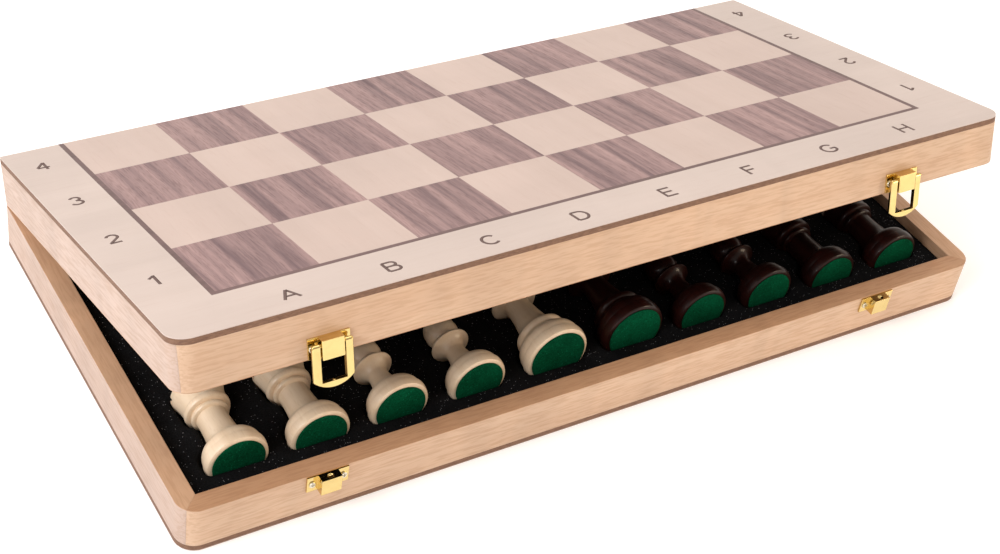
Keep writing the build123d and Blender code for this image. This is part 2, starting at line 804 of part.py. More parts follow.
def latch_nodes(base, lid):
    """Latches at both ends, and their screw holes in the two front rails."""
    nodes = {}
    base_screws = []
    lid_screws = []
    for name, side in (("left", -1), ("right", 1)):
        x_centre = side * latch_x
        for screw in keeper_screws(x_centre):
            base["rail_front"] -= screw
            base_screws.append(screw)
        for screw in mount_screws(x_centre):
            lid["rail_front"] -= flipped(screw)
            lid_screws.append(screw)
        nodes[f"latch_{name}_keeper"] = latch_keeper(x_centre)
        nodes[f"latch_{name}_mount"] = opened(latch_mount(x_centre))
        nodes[f"latch_{name}_pin"] = opened(
            Pos(x_centre, 0, 0) * latch_rod(latch_pin_radius, frame_width))
        nodes[f"latch_{name}_frame"] = opened(latch_frame(x_centre))
    nodes["latch_screws_base"] = group(base_screws)
    nodes["latch_screws_lid"] = opened(group(lid_screws))
    return nodes


def build():
    """Every node of the chess box, by name."""
    base = shell_pieces()
    lid = dict(base)
    nodes = hinge_nodes(base, lid)
    nodes.update(latch_nodes(base, lid))
    nodes.update({f"base_{name}": shape for name, shape in base.items()})
    nodes.update({f"lid_{name}": opened(flipped(shape)) for name, shape in lid.items()})
    chess, nests = chess_nodes(kinds())
    nodes.update(chess)
    nodes["foam_tray"] = foam_tray(nests)
    nodes["lid_lining"] = opened(lid_lining())
    return nodes


os.makedirs("parts", exist_ok=True)
for node_name, node_shape in build().items():
    export_step(node_shape, f"parts/{node_name}.step")
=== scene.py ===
import logging
import math
from dataclasses import dataclass, replace
from enum import Enum
from typing import Sequence

import bmesh
import bpy
from mathutils import Matrix, Vector, noise


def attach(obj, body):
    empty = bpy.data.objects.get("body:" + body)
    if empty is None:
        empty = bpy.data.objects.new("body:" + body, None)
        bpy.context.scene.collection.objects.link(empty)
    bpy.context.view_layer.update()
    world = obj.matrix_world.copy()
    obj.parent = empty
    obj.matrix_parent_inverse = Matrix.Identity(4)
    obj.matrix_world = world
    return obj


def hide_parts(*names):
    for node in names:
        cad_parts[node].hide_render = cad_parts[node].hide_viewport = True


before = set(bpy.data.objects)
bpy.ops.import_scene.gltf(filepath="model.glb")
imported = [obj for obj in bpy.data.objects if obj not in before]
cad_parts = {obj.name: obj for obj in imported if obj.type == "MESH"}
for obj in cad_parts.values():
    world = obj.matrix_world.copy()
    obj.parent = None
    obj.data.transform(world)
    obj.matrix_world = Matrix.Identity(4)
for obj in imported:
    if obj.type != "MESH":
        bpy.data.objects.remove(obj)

Colour = tuple[float, float, float]
Triple = tuple[float, float, float]
Point = tuple[float, float]
Span = tuple[float, float]

log = logging.getLogger("chess_box")
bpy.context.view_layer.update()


class Body(Enum):
    """The bodies that the pieces made here ride on."""

    BASE = "base"
    LID = "lid"


class Grain(Enum):
    """The way that wood grain runs, as the turn about Z that brings it onto X."""

    ALONG_LENGTH = 0.0
    ALONG_DEPTH = 90.0


@dataclass(frozen=True)
class BoxSizes:
    """The chess box's own sizes, in metres and degrees.

    Attributes:
        width: Each half along X.
        depth: Each half along Y.
        shell_height: Each half's height.
        rail: The thickness of the side rails.
        rim_gap: What stays open between the rims of the shut box.
        hinge_setback: How far behind the wood the hinge axis lies.
        opening: How far the lid stands open at rest.
        border: The margin round the field of squares.
        square: A square's side.
        files: How many squares lie side by side along X.
    """

    width: float = 0.467
    depth: float = 0.231
    shell_height: float = 0.0262
    rail: float = 0.010
    rim_gap: float = 0.0004
    hinge_setback: float = 0.00025
    opening: float = 16.0
    border: float = 0.0335
    square: float = 0.05
    files: int = 8

    @property
    def hinge(self) -> Vector:
        """A point on the hinge axis."""
        return Vector((0.0, self.depth / 2 + self.hinge_setback, self.shell_height + self.rim_gap / 2))

    def open_lid(self) -> Matrix:
        """The move from the shut lid to the lid as it stands ajar."""
        turn = Matrix.Rotation(math.radians(-self.opening), 4, "X")
        return Matrix.Translation(self.hinge) @ turn @ Matrix.Translation(-self.hinge)


BOX = BoxSizes()


# ---------------------------------------------------------------- wiring
def spaced(title: str) -> str:
    """Turns the name of an argument into that of a socket."""
    return title.replace("_", " ")


class Wiring:
    """A node tree that is wired with short calls.

    Args:
        tree: The material's, world's or group's node tree.
    """

    def __init__(self, tree: bpy.types.NodeTree) -> None:
        """Keeps the tree."""
        self.tree = tree

    def node(self, kind: str, **settings: object) -> bpy.types.Node:
        """Adds a node.

        Args:
            kind: The node's type name.
            settings: Properties to set on it.

        Returns:
            The new node.
        """
        made = self.tree.nodes.new(kind)
        for name, value in settings.items():
            setattr(made, name, value)
        return made

    def feed(self, source: object, target: bpy.types.NodeSocket) -> None:
        """Links a socket, or writes a plain value, into a target socket.

        Args:
            source: A socket or a value.
            target: The socket that takes it.
        """
        if isinstance(source, bpy.types.NodeSocket):
            self.tree.links.new(source, target)
        else:
            target.default_value = source

    def maths(self, operation: str, *values: object) -> bpy.types.NodeSocket:
        """Adds a math node.

        Args:
            operation: Its operation.
            values: Its inputs, sockets or numbers.

        Returns:
            Its output.
        """
        made = self.node("ShaderNodeMath", operation=operation)
        for value, target in zip(values, made.inputs):
            self.feed(value, target)
        return made.outputs[0]

    def spread(self, value: object, low: object, high: object, to_low: float = 0.0,
               to_high: float = 1.0) -> bpy.types.NodeSocket:
        """Maps one range onto another, held at its ends.

        Args:
            value: What is mapped.
            low: Where the range starts.
            high: Where it ends.
            to_low: What the start becomes.
            to_high: What the end becomes.

        Returns:
            The mapped value.
        """
        made = self.node("ShaderNodeMapRange")
        for number, target in zip((value, low, high, to_low, to_high), made.inputs):
            self.feed(number, target)
        return made.outputs[0]

    def vary(self, value: object, amount: float, low: float = 0.3,
             high: float = 0.7) -> bpy.types.NodeSocket:
        """Turns a value into a factor that varies about 1.

        Args:
            value: The value, which between the default ends is that of a noise texture.
            amount: How far the factor goes from 1, down and up.
            low: The value that gives the lowest factor.
            high: The value that gives the highest.

        Returns:
            The factor.
        """
        return self.spread(value, low, high, 1.0 - amount, 1.0 + amount)

    def blend(self, amount: object, first: object, second: object,
              mode: str = "MIX") -> bpy.types.NodeSocket:
        """Mixes two colours.

        Args:
            amount: How much of the second, from 0 to 1.
            first: A colour or socket.
            second: A colour or socket.
            mode: How the second acts on the first.

        Returns:
            The mixed colour.
        """
        made = self.node("ShaderNodeMix", data_type="RGBA", blend_type=mode)
        self.feed(amount, made.inputs["Factor"])
        for value, target in ((first, made.inputs[6]), (second, made.inputs[7])):
            self.feed((*value, 1.0) if isinstance(value, tuple) else value, target)
        return made.outputs[2]

    def shade(self, colour: object, factor: object) -> bpy.types.NodeSocket:
        """Makes a colour lighter or darker.

        Args:
            colour: The colour.
            factor: How bright it becomes, where 1 leaves it as it is.

        Returns:
            The new colour.
        """
        made = self.node("ShaderNodeHueSaturation")
        self.feed(colour, made.inputs["Color"])
        self.feed(factor, made.inputs["Value"])
        return made.outputs[0]

    def noise(self, place: object, scale: object = 1.0, detail: float = 2.0, roughness: float = 0.5,
              distortion: float = 0.0) -> bpy.types.NodeSocket:
        """Adds a noise texture.

        Args:
            place: Where it is read.
            scale: Its scale.
            detail: Its octaves.
            roughness: How strong the finer octaves are.
            distortion: How much it is swirled.

        Returns:
            Its value.
        """
        made = self.node("ShaderNodeTexNoise")
        settings = {"Vector": place, "Scale": scale, "Detail": detail, "Roughness": roughness,
                    "Distortion": distortion}
        for title, value in settings.items():
            self.feed(value, made.inputs[title])
        return made.outputs[0]

    def stretched(self, place: object, scale: Triple = (1.0, 1.0, 1.0), turn: float = 0.0,
                  shift: Triple = (0.0, 0.0, 0.0)) -> bpy.types.NodeSocket:
        """Turns and scales coordinates.

        Args:
            place: The coordinates.
            scale: The factors along the turned axes.
            turn: The turn about Z, in degrees.
            shift: What is added last.

        Returns:
            The new coordinates.
        """
        turned = self.node("ShaderNodeVectorRotate", rotation_type="Z_AXIS")
        self.feed(place, turned.inputs["Vector"])
        self.feed(math.radians(turn), turned.inputs["Angle"])
        made = self.node("ShaderNodeMapping")
        self.feed(turned.outputs[0], made.inputs["Vector"])
        made.inputs["Scale"].default_value = scale
        made.inputs["Location"].default_value = shift
        return made.outputs[0]

    def moved(self, place: object, shift: object) -> bpy.types.NodeSocket:
        """Moves coordinates by an amount that changes over the surface.

        Args:
            place: The coordinates.
            shift: What is added to them.

        Returns:
            The new coordinates.
        """
        made = self.node("ShaderNodeVectorMath", operation="ADD")
        self.feed(place, made.inputs[0])
        self.feed(shift, made.inputs[1])
        return made.outputs[0]

    def axes(self, place: object) -> tuple[bpy.types.NodeSocket, ...]:
        """Splits coordinates.

        Args:
            place: The coordinates.

        Returns:
            X, Y and Z.
        """
        made = self.node("ShaderNodeSeparateXYZ")
        self.feed(place, made.inputs[0])
        return tuple(made.outputs)


@dataclass
class Effects:
    """Shader groups that more than one finish places with its own values.

    Attributes:
        figure_scale: The wood's slow figure, in waves per metre along and across the grain.
        curl_scale: The shimmer across the grain, in the same way.
        curl_turn: How far the shimmer is off square, in degrees.
        streak_stretch: How much slower growth streaks change along the grain than across it.
        fleck_stretch: The same for the short flecks.
        fleck_shift: What keeps the flecks off the streaks.
        fleck_fineness: How much finer than the streaks the flecks are.
        fleck_range: The step in the noise from no fleck to a full one.
        smudge_range: The part of the noise that smudges take.
        hairline_stretch: The form of hairline marks.
        hairline_turn: Their direction, in degrees.
        hairline_fineness: How much finer than smudges they are.
        hairline_range: The part of the noise that they take.
        cell_fineness: The scale of cells as a share of the fibres' scale.
        cell_bare: The share of cells without a speck.
        cloud_fineness: The scale of clouds as a share of the fibres' scale.
    """

    figure_scale: Triple = (7.0, 22.0, 22.0)
    curl_scale: Triple = (38.0, 9.0, 9.0)
    curl_turn: float = 6.0
    streak_stretch: Triple = (0.03, 1.0, 1.0)
    fleck_stretch: Triple = (0.09, 1.0, 1.0)
    fleck_shift: Triple = (0.31, 0.17, 0.05)
    fleck_fineness: float = 9.0
    fleck_range: float = 0.16
    smudge_range: Span = (0.35, 0.75)
    hairline_stretch: Triple = (0.12, 1.0, 1.6)
    hairline_turn: float = 33.0
    hairline_fineness: float = 22.0
    hairline_range: Span = (0.62, 0.8)
    cell_fineness: float = 0.55
    cell_bare: float = 0.72
    cloud_fineness: float = 0.04

    def __post_init__(self) -> None:
        """Builds the groups."""
        self.grain = self.make_grain()
        self.handling = self.make_handling()
        self.fibres = self.make_fibres()

    @staticmethod
    def open_group(name: str, **inputs: float) -> tuple[Wiring, bpy.types.Node]:
        """Starts a group with the input Place and plain values.

        Args:
            name: The group's name.
            inputs: The default of each plain value, with _ for a space.

        Returns:
            The group's wiring and the node of its inputs.
        """
        group = bpy.data.node_groups.new(name, "ShaderNodeTree")
        group.interface.new_socket(name="Place", in_out="INPUT", socket_type="NodeSocketVector")
        for title, value in inputs.items():
            socket = group.interface.new_socket(name=spaced(title), in_out="INPUT",
                                                socket_type="NodeSocketFloat")
            socket.default_value = value
        wiring = Wiring(group)
        return wiring, wiring.node("NodeGroupInput")

    @staticmethod
    def close_group(wiring: Wiring, **outputs: bpy.types.NodeSocket) -> bpy.types.NodeTree:
        """Gives a group its outputs.

        Args:
            wiring: The group's wiring.
            outputs: The value that each output gives.

        Returns:
            The group.
        """
        for title in outputs:
            wiring.tree.interface.new_socket(name=title, in_out="OUTPUT", socket_type="NodeSocketFloat")
        result = wiring.node("NodeGroupOutput")
        for title, value in outputs.items():
            wiring.feed(value, result.inputs[title])
        return wiring.tree

    def make_grain(self) -> bpy.types.NodeTree:
        """Grain that runs along X: growth streaks, short flecks, slow figure and curl across it.

        Returns:
            The group.
        """
        wiring, given = self.open_group("wood grain", Fineness=120.0, Sway=0.004, Fleck_Start=0.56)
        place, fineness = given.outputs["Place"], given.outputs["Fineness"]
        figure = wiring.noise(wiring.stretched(place, self.figure_scale), detail=3.0, roughness=0.55)
        bend = wiring.maths("MULTIPLY", wiring.maths("SUBTRACT", figure, 0.5), given.outputs["Sway"])
        shift = wiring.node("ShaderNodeCombineXYZ")
        for across in (1, 2):
            wiring.feed(bend, shift.inputs[across])
        swaying = wiring.moved(place, shift.outputs[0])
        streaks = wiring.noise(wiring.stretched(swaying, self.streak_stretch), fineness,
                               detail=5.0, roughness=0.62)
        short_lines = wiring.stretched(swaying, self.fleck_stretch, shift=self.fleck_shift)
        specks = wiring.noise(short_lines, wiring.maths("MULTIPLY", fineness, self.fleck_fineness))
        low = given.outputs["Fleck Start"]
        flecks = wiring.spread(specks, low, wiring.maths("ADD", low, self.fleck_range))
        curl = wiring.noise(wiring.stretched(place, self.curl_scale, self.curl_turn), distortion=0.6)
        return self.close_group(wiring, Streaks=streaks, Flecks=flecks, Figure=figure, Curl=curl)

    def make_handling(self) -> bpy.types.NodeTree:
        """Traces of handling: smudges, dull patches and hairline marks.

        Returns:
            The group.
        """
        wiring, given = self.open_group("handling", Scale=60.0)
        place, scale = given.outputs["Place"], given.outputs["Scale"]
        patches = wiring.noise(place, scale, detail=4.0, roughness=0.6, distortion=0.4)
        smudge = wiring.spread(patches, *self.smudge_range)
        lines = wiring.noise(wiring.stretched(place, self.hairline_stretch, self.hairline_turn),
                             wiring.maths("MULTIPLY", scale, self.hairline_fineness),
                             detail=1.0, roughness=0.4)
        return self.close_group(wiring, Smudge=smudge,
                                Hairlines=wiring.spread(lines, *self.hairline_range))

    def make_fibres(self) -> bpy.types.NodeTree:
        """Matted fibres or open cells: a rough height, pale specks and slow clouds.

        Returns:
            The group.
        """
        wiring, given = self.open_group("fibres", Scale=900.0, Speck_Size=0.12)
        place, scale = given.outputs["Place"], given.outputs["Scale"]
        height = wiring.noise(place, scale, detail=3.0, roughness=0.7, distortion=0.6)
        cells = wiring.node("ShaderNodeTexVoronoi", feature="F1")
        wiring.feed(place, cells.inputs["Vector"])
        wiring.feed(wiring.maths("MULTIPLY", scale, self.cell_fineness), cells.inputs["Scale"])
        near = wiring.maths("LESS_THAN", cells.outputs["Distance"], given.outputs["Speck Size"])
        chance = wiring.node("ShaderNodeSeparateColor")
        wiring.feed(cells.outputs["Color"], chance.inputs[0])
        chosen = wiring.maths("GREATER_THAN", chance.outputs[0], self.cell_bare)
        clouds = wiring.noise(place, wiring.maths("MULTIPLY", scale, self.cloud_fineness),
                              detail=3.0, roughness=0.6)
        return self.close_group(wiring, Height=height, Clouds=clouds,
                                Specks=wiring.maths("MULTIPLY", near, chosen))


EFFECTS = Effects()


class Surface:
    """A material under construction: its wiring, its shader and where it is read.

    Args:
        name: The material's name.
        body: Whose axes the coordinates follow. Those of the lid stand ajar with it.
    """

    def __init__(self, name: str, body: Body = Body.BASE) -> None:
        """Starts the material."""
        self.material = bpy.data.materials.new(name)
        self.material.use_nodes = True
        tree = self.material.node_tree
        self.shader = tree.nodes["Principled BSDF"]
        self.wiring = Wiring(tree)
        self.place = self.wiring.node("ShaderNodeTexCoord").outputs["Object"]
        if body is Body.LID:
            shut = BOX.open_lid().inverted()
            mapping = self.wiring.node("ShaderNodeMapping")
            self.wiring.feed(self.place, mapping.inputs["Vector"])
            mapping.inputs["Rotation"].default_value = shut.to_euler()
            mapping.inputs["Location"].default_value = shut.translation
            self.place = mapping.outputs[0]

    def effect(self, group: bpy.types.NodeTree, place: object, **values: float) -> bpy.types.Node:
        """Places an effect group.

        Args:
            group: The group.
            place: Where it is read.
            values: Its other inputs, with _ for a space.

        Returns:
            The group's node.
        """
        made = self.wiring.node("ShaderNodeGroup", node_tree=group)
        self.wiring.feed(place, made.inputs["Place"])
        for title, value in values.items():
            self.wiring.feed(value, made.inputs[spaced(title)])
        return made

    def paint(self, colour: object, roughness: object = None) -> None:
        """Feeds what changes over the surface into the shader.

        Args:
            colour: The base colour.
            roughness: The roughness, where it changes too.
        """
        self.wiring.feed(colour, self.shader.inputs["Base Color"])
        if roughness is not None:
            self.wiring.feed(roughness, self.shader.inputs["Roughness"])

    def relief(self, height: object, depth: float, soft_edge: float = 0.0) -> None:
        """Gives the surface fine relief, and rounds its sharp edges to the eye.

        Args:
            height: The relief, from 0 to 1.
            depth: What 1 stands for, in metres.
            soft_edge: The radius of the rounding, in metres.
        """
        bump = self.wiring.node("ShaderNodeBump")
        bump.inputs["Distance"].default_value = depth
        self.wiring.feed(height, bump.inputs["Height"])
        if soft_edge:
            rounding = self.wiring.node("ShaderNodeBevel", samples=4)
            rounding.inputs["Radius"].default_value = soft_edge
            self.wiring.feed(rounding.outputs[0], bump.inputs["Normal"])
        self.wiring.feed(bump.outputs[0], self.shader.inputs["Normal"])

    def settle(self, **values: float) -> bpy.types.Material:
        """Sets plain numbers on the shader.

        Args:
            values: Values by socket name, with _ for a space.

        Returns:
            The finished material.
        """
        for title, value in values.items():
            self.shader.inputs[spaced(title)].default_value = value
        return self.material


# ---------------------------------------------------------------- finishes
@dataclass(frozen=True)
class WoodFinish:
    """A plain or varnished wood.

    Attributes:
        name: What its materials are called.
        pale: The colour between the growth streaks.
        deep: The colour of the streaks.
        fleck: The colour of the short flecks.
        fineness: How fine the streaks are, in waves per metre.
        sway: How far the streaks wander, in metres.
        fleck_start: The noise from which a fleck shows. A lower one gives more flecks.
        fleck_strength: How much of its colour a fleck shows.
        contrast: The part of the noise that goes from pale to deep.
        figure: How much the slow figure varies the brightness.
        curl: How much the shimmer across the grain varies it.
        per_square: How much it varies from square to square, each a piece of wood of its own.
        apart: How far apart in the wood the squares are cut.
        roughness: The roughness of the polished wood.
        fleck_roughness: What is added to it off and on the flecks.
        pore_depth: How deep the flecks lie, in metres.
        coat: How much varnish it has.
        coat_roughness: The varnish's roughness.
        specular: How strongly the wood itself shines.
        soft_edge: The radius of its softened edges, in metres.
        bare: Painted shade: a tint on the rim and the inner faces, which lie under the lid. It makes
            them warmer than the outer faces and, on the front and back rails, darker.
        bare_slack: How far past the rim and the inner faces the tint reaches, in metres.
    """

    name: str
    pale: Colour
    deep: Colour
    fleck: Colour
    fineness: float = 120.0
    sway: float = 0.004
    fleck_start: float = 0.56
    fleck_strength: float = 0.35
    contrast: Span = (0.35, 0.68)
    figure: float = 0.05
    curl: float = 0.02
    per_square: float = 0.0
    apart: float = 3.0
    roughness: float = 0.5
    fleck_roughness: Span = (-0.04, 0.08)
    pore_depth: float = 0.00002
    coat: float = 0.0
    coat_roughness: float = 0.2
    specular: float = 0.5
    soft_edge: float = 0.0
    # Painted shade: the tint for the rim and the inner faces under the lid.
    bare: Colour | None = None
    bare_slack: float = 0.0003

    def square_offset(self, surface: Surface) -> tuple[bpy.types.NodeSocket, bpy.types.NodeSocket]:
        """Gives every square of the field its own piece of wood.

        Args:
            surface: The material under construction.

        Returns:
            The coordinates, moved square by square, and a chance value per square.
        """
        wiring = surface.wiring
        field_front = BOX.border - BOX.depth / 2
        in_squares = wiring.stretched(surface.place, (1 / BOX.square,) * 3,
                                      shift=(BOX.files / 2, -field_front / BOX.square, 0.0))
        index = wiring.node("ShaderNodeVectorMath", operation="FLOOR")
        wiring.feed(in_squares, index.inputs[0])
        chance = wiring.node("ShaderNodeTexWhiteNoise", noise_dimensions="2D")
        wiring.feed(index.outputs[0], chance.inputs["Vector"])
        push = wiring.node("ShaderNodeVectorMath", operation="SCALE")
        wiring.feed(chance.outputs["Color"], push.inputs[0])
        push.inputs["Scale"].default_value = self.apart
        return wiring.moved(surface.place, push.outputs[0]), chance.outputs["Value"]

    def bare_faces(self, surface: Surface, colour: bpy.types.NodeSocket) -> bpy.types.NodeSocket:
        """Paints shade on the rim and the inside of the box: a tint that stands in for the lid's shade.

        Args:
            surface: The material under construction.
            colour: The colour so far.

        Returns:
            The colour with the bare faces.
        """
        wiring = surface.wiring
        along, across, up = wiring.axes(surface.place)
        off_rim = wiring.maths("ABSOLUTE", wiring.maths("SUBTRACT", up, BOX.hinge.z))
        on_rim = wiring.maths("LESS_THAN", off_rim, BOX.rim_gap / 2 + self.bare_slack)
        within = [wiring.maths("LESS_THAN", wiring.maths("ABSOLUTE", place),
                               size / 2 - BOX.rail + self.bare_slack)
                  for place, size in ((along, BOX.width), (across, BOX.depth))]
        # Painted shade: the rim and inner faces that the lid shades.
        lid_shade_mask = wiring.maths("MAXIMUM", on_rim, wiring.maths("MULTIPLY", *within))
        return wiring.blend(lid_shade_mask, colour, self.bare, "MULTIPLY")

    def material(self, grain: Grain, body: Body = Body.BASE) -> bpy.types.Material:
        """Makes the material.

        Args:
            grain: The way the grain runs.
            body: The half whose axes it follows.

        Returns:
            The material.
        """
        surface = Surface(f"{self.name}_{grain.name.lower()}_{body.value}", body)
        wiring = surface.wiring
        even_chance = 0.5
        place, chance = (self.square_offset(surface) if self.per_square
                         else (surface.place, even_chance))
        grains = surface.effect(EFFECTS.grain, wiring.stretched(place, turn=grain.value),
                                Fineness=self.fineness, Sway=self.sway, Fleck_Start=self.fleck_start)
        flecks = grains.outputs["Flecks"]
        streaks = wiring.spread(grains.outputs["Streaks"], *self.contrast)
        colour = wiring.blend(streaks, self.pale, self.deep)
        colour = wiring.blend(wiring.maths("MULTIPLY", flecks, self.fleck_strength), colour, self.fleck)
        factor = wiring.vary(grains.outputs["Figure"], self.figure)
        for varied in (wiring.vary(chance, self.per_square, 0.0, 1.0),
                       wiring.vary(grains.outputs["Curl"], self.curl)):
            factor = wiring.maths("MULTIPLY", factor, varied)
        colour = wiring.shade(colour, factor)
        # Painted shade on the rim and the inner faces.
        if self.bare:
            colour = self.bare_faces(surface, colour)
        off_fleck, on_fleck = self.fleck_roughness
        surface.paint(colour, wiring.spread(flecks, 0.0, 1.0, self.roughness + off_fleck,
                                            self.roughness + on_fleck))
        surface.relief(wiring.maths("SUBTRACT", 1.0, flecks), self.pore_depth, self.soft_edge)
        return surface.settle(Coat_Weight=self.coat, Coat_Roughness=self.coat_roughness,
                              Specular_IOR_Level=self.specular)


@dataclass(frozen=True)
class MetalFinish:
    """Polished or plated metal with the traces of handling.

    Attributes:
        name: What its material is called.
        colour: The clean metal's colour.
        dull: The colour of smudges.
        roughness: The clean metal's roughness.
        soft_edge: The radius of its softened edges, in metres.
        marks: The scale of the traces.
        smudge: How much of its colour a smudge shows.
        smudge_roughness: What a smudge adds to the roughness.
        scratch_roughness: What a hairline mark adds to it.
        scratch_depth: How deep a hairline mark is, in metres.
    """

    name: str
    colour: Colour
    dull: Colour
    roughness: float = 0.08
    soft_edge: float = 0.0002
    marks: float = 160.0
    smudge: float = 0.5
    smudge_roughness: float = 0.1
    scratch_roughness: float = 0.12
    scratch_depth: float = 0.000002

    def material(self) -> bpy.types.Material:
        """Makes the material.

        Returns:
            The material.
        """
        surface = Surface(self.name)
        wiring = surface.wiring
        traces = surface.effect(EFFECTS.handling, surface.place, Scale=self.marks)
        smudge, hairlines = traces.outputs["Smudge"], traces.outputs["Hairlines"]
        colour = wiring.blend(wiring.maths("MULTIPLY", smudge, self.smudge), self.colour, self.dull)
        rough = wiring.spread(smudge, 0.0, 1.0, self.roughness, self.roughness + self.smudge_roughness)
        surface.paint(colour, wiring.maths("MULTIPLY_ADD", hairlines, self.scratch_roughness, rough))
        surface.relief(wiring.maths("SUBTRACT", 1.0, hairlines), self.scratch_depth, self.soft_edge)
        return surface.settle(Metallic=1.0)


@dataclass(frozen=True)
class FibreFinish:
    """Felt or foam: a matt ground with fibres, specks and clouds.

    Attributes:
        name: What its material is called.
        ground: The colour low between the fibres.
        raised: The colour of the raised fibres.
        speck: The colour of the specks, which on the foam are painted glints.
        scale: The scale of the fibres.
        speck_size: A speck's size, as a share of its cell.
        depth: How high the fibres stand, in metres.
        raised_range: The part of the height that goes from ground to raised.
        clouds: How much slow clouds vary the brightness.
    """

    name: str
    ground: Colour
    raised: Colour
    speck: Colour
    scale: float
    speck_size: float
    depth: float
    raised_range: Span = (0.35, 0.7)
    clouds: float = 0.25

    def material(self) -> bpy.types.Material:
        """Makes the material.

        Returns:
            The material.
        """
        surface = Surface(self.name)
        wiring = surface.wiring
        fibres = surface.effect(EFFECTS.fibres, surface.place, Scale=self.scale,
                                Speck_Size=self.speck_size)
        raised = wiring.spread(fibres.outputs["Height"], *self.raised_range)
        colour = wiring.blend(raised, self.ground, self.raised)
        colour = wiring.blend(fibres.outputs["Specks"], colour, self.speck)
        surface.paint(wiring.shade(colour, wiring.vary(fibres.outputs["Clouds"], self.clouds)))
        surface.relief(fibres.outputs["Height"], self.depth)
        return surface.settle(Roughness=0.95, Specular_IOR_Level=0.03)


@dataclass(frozen=True)
class BoardFinish:
    """Pressed fibres in thin layers, as in fibreboard seen at its edges or in printed ink.

    Attributes:
        name: What its materials are called.
        light: The colour of the raised fibres.
        dark: The colour between them.
        layering: How the fibres are flattened into layers.
        scale: The scale of the fibres.
        contrast: The part of the height that goes from dark to light.
        depth: How high the fibres stand, in metres.
        soft_edge: The radius of its softened edges, in metres.
    """

    name: str
    light: Colour
    dark: Colour
    layering: Triple = (0.25, 0.25, 1.0)
    scale: float = 1500.0
    contrast: Span = (0.3, 0.7)
    depth: float = 0.00003
    soft_edge: float = 0.0003

    def material(self, body: Body = Body.BASE) -> bpy.types.Material:
        """Makes the material.

        Args:
            body: The half whose axes it follows.

        Returns:
            The material.
        """
        surface = Surface(f"{self.name}_{body.value}", body)
        wiring = surface.wiring
        layers = wiring.stretched(surface.place, self.layering)
        height = surface.effect(EFFECTS.fibres, layers, Scale=self.scale).outputs["Height"]
        surface.paint(wiring.blend(wiring.spread(height, *self.contrast), self.dark, self.light))
        surface.relief(height, self.depth, self.soft_edge)
        return surface.settle(Roughness=0.7)


class Finishes:
    """All finishes of the chess box."""

    maple = WoodFinish("pale_veneer", (0.590, 0.455, 0.400), (0.565, 0.430, 0.375), (0.53, 0.385, 0.33),
                       fineness=90.0, fleck_strength=0.10, roughness=0.42, per_square=0.015)
    border = replace(maple, name="border_veneer", pale=(0.600, 0.490, 0.440), deep=(0.580, 0.470, 0.420),
                     per_square=0.0)
    walnut = WoodFinish("dark_veneer", (0.41, 0.255, 0.240), (0.150, 0.083, 0.090), (0.11, 0.06, 0.06),
                        fineness=150.0, sway=0.005, fleck_strength=0.32, contrast=(0.36, 0.66),
                        roughness=0.42, per_square=0.05, fleck_start=0.5)
    line = WoodFinish("line_veneer", (0.165, 0.092, 0.088), (0.12, 0.065, 0.062), (0.10, 0.055, 0.05),
                      fineness=200.0, roughness=0.42)
    # The tint on these rails' rim and inner faces is painted shade: darker and warmer, for the lid's
    # shade.
    rail = WoodFinish("rail_wood", (0.655, 0.450, 0.310), (0.605, 0.390, 0.255), (0.48, 0.285, 0.17),
                      fineness=110.0, fleck_strength=0.42, soft_edge=0.0005,
                      fleck_start=0.45, curl=0.07, bare=(0.86, 0.72, 0.60))
    # Painted light: the rail wood again, paler and cooler on the side rails as if lit from the left,
    # with a warmer painted tint on their rim and inner faces for the shade under the lid.
    end_rail = replace(rail, name="end_rail_wood", pale=(0.545, 0.400, 0.330), deep=(0.51, 0.36, 0.285),
                       fleck=(0.42, 0.275, 0.20), bare=(1.18, 0.99, 0.75))
    pale_pieces = WoodFinish("pale_pieces", (0.88, 0.70, 0.51), (0.80, 0.60, 0.41), (0.66, 0.46, 0.28),
                             fineness=170.0, fleck_strength=0.25, roughness=0.38, coat=0.3,
                             coat_roughness=0.25, soft_edge=0.0002)
    dark_pieces = WoodFinish("dark_pieces", (0.026, 0.0050, 0.0034), (0.009, 0.0022, 0.0016),
                             (0.005, 0.0016, 0.0012), fineness=170.0, fleck_strength=0.4,
                             roughness=0.45, coat=0.22, coat_roughness=0.07, soft_edge=0.0002,
                             specular=0.15)
    fibreboard = BoardFinish("fibreboard", (0.26, 0.140, 0.085), (0.145, 0.070, 0.042))
    gilt = MetalFinish("gilt_metal", (0.79, 0.61, 0.26), (0.66, 0.48, 0.18))
    steel = MetalFinish("screw_steel", (0.72, 0.68, 0.58), (0.55, 0.50, 0.42), roughness=0.18)
    # Painted glints: the foam's pale specks stand in for its shine.
    foam = FibreFinish("black_foam", (0.004, 0.004, 0.0045), (0.014, 0.014, 0.015), (0.24, 0.24, 0.25),
                       scale=1700.0, speck_size=0.18, depth=0.00025)
    felt = FibreFinish("green_felt", (0.0008, 0.042, 0.017), (0.0018, 0.100, 0.042),
                       (0.005, 0.140, 0.062), scale=1500.0, speck_size=0.25, depth=0.00012)
    ink = BoardFinish("letter_ink", (0.17, 0.105, 0.09), (0.13, 0.08, 0.07))


def dress(node: str, material: bpy.types.Material) -> None:
    """Gives a carried-over solid its material.

    Args:
        node: The solid's name.
        material: Its material.
    """
    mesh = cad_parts[node].data
    mesh.materials.clear()
    mesh.materials.append(material)
    log.info("dressed %s with %s", node, material.name)


